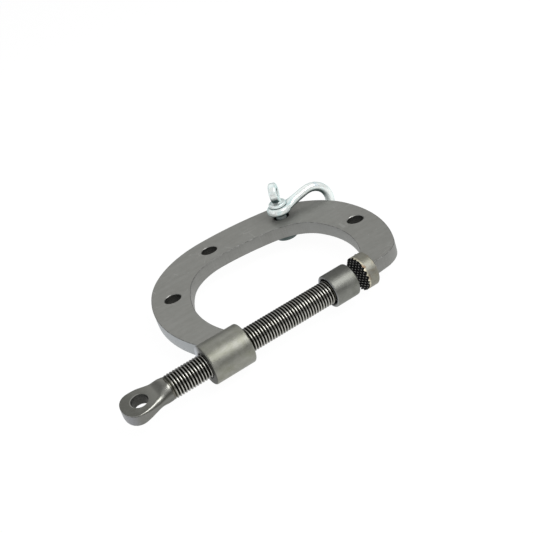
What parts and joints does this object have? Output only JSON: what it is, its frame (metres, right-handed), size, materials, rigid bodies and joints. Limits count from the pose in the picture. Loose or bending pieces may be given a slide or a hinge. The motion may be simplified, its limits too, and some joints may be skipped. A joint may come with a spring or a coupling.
{
  "type": "screw-actuated c-frame pulling clamp",
  "caption": "C-shaped steel plate frame with a long eye-ended clamping screw in a threaded boss, a swivel pad facing a toothed anvil, and a bow shackle in one of its pull holes.",
  "frame": {"origin": "centre of the anvil's clamping face", "axes": "+X along the spindle from the pulling eye to the anvil, +Y in the plate's plane towards the back of the C, +Z normal to the plate on the side of the shackle pin's head"},
  "size_m": [0.3508, 0.232, 0.0726],
  "materials": {
    "frame_steel": "satin ground plate with fine grinding streaks, thin dark edges and slightly bluish cut sides",
    "machined_steel": "blasted satin grey with rounded edges",
    "oiled_thread_steel": "dark oiled forging with bright worn thread crests",
    "tempered_jaw_steel": "hardened steel with a faint straw heat tint and dark teeth",
    "weld_metal": "dressed weld bead, slightly rippled",
    "bearing_steel": "polished ball",
    "spring_steel": "phosphated dark spring steel",
    "zinc_plate": "bright zinc plate with faint blue-green tint"
  },
  "bodies": {
    "frame": {"c_frame": "frame_steel", "nut_boss": "machined_steel", "boss_weld": "weld_metal", "anvil": "tempered_jaw_steel", "anvil_weld": "weld_metal"},
    "thrust_carrier": {"thrust_ball": "bearing_steel"},
    "screw": {"spindle": "oiled_thread_steel"},
    "pad_gimbal": {"pad_snap_ring": "spring_steel"},
    "pad": {"swivel_pad": "machined_steel"},
    "shackle": {"shackle_bow": "zinc_plate"},
    "pin": {"shackle_pin": "zinc_plate"}
  },
  "joints": [
    {"name": "spindle_feed", "type": "slide", "parent": "frame", "child": "thrust_carrier", "axis": [1, 0, 0], "range_m": [-0.0952, 0.0069]},
    {"name": "spindle_turn", "type": "hinge", "parent": "thrust_carrier", "child": "screw", "pos_m": [-0.0195, 0, 0], "axis": [1, 0, 0], "range_deg": [-11400, 816]},
    {"name": "pad_tilt", "type": "hinge", "parent": "thrust_carrier", "child": "pad_gimbal", "pos_m": [-0.0195, 0, 0], "axis": [0, 1, 0], "range_deg": [-3.5, 3.5]},
    {"name": "pad_swivel", "type": "hinge", "parent": "pad_gimbal", "child": "pad", "pos_m": [-0.0195, 0, 0], "axis": [1, 0, 0], "continuous": true},
    {"name": "shackle_swing", "type": "hinge", "parent": "frame", "child": "shackle", "pos_m": [0.021, 0.1723, 0], "axis": [0, 0, 1], "range_deg": [-10, 130]},
    {"name": "pin_turn", "type": "hinge", "parent": "shackle", "child": "pin", "pos_m": [0.021, 0.1723, 0], "axis": [0, 0, 1], "continuous": true}
  ],
  "couplings": [
    {"joint": "spindle_feed", "follows": "spindle_turn", "m_per_rad": 0.00047746}
  ]
}
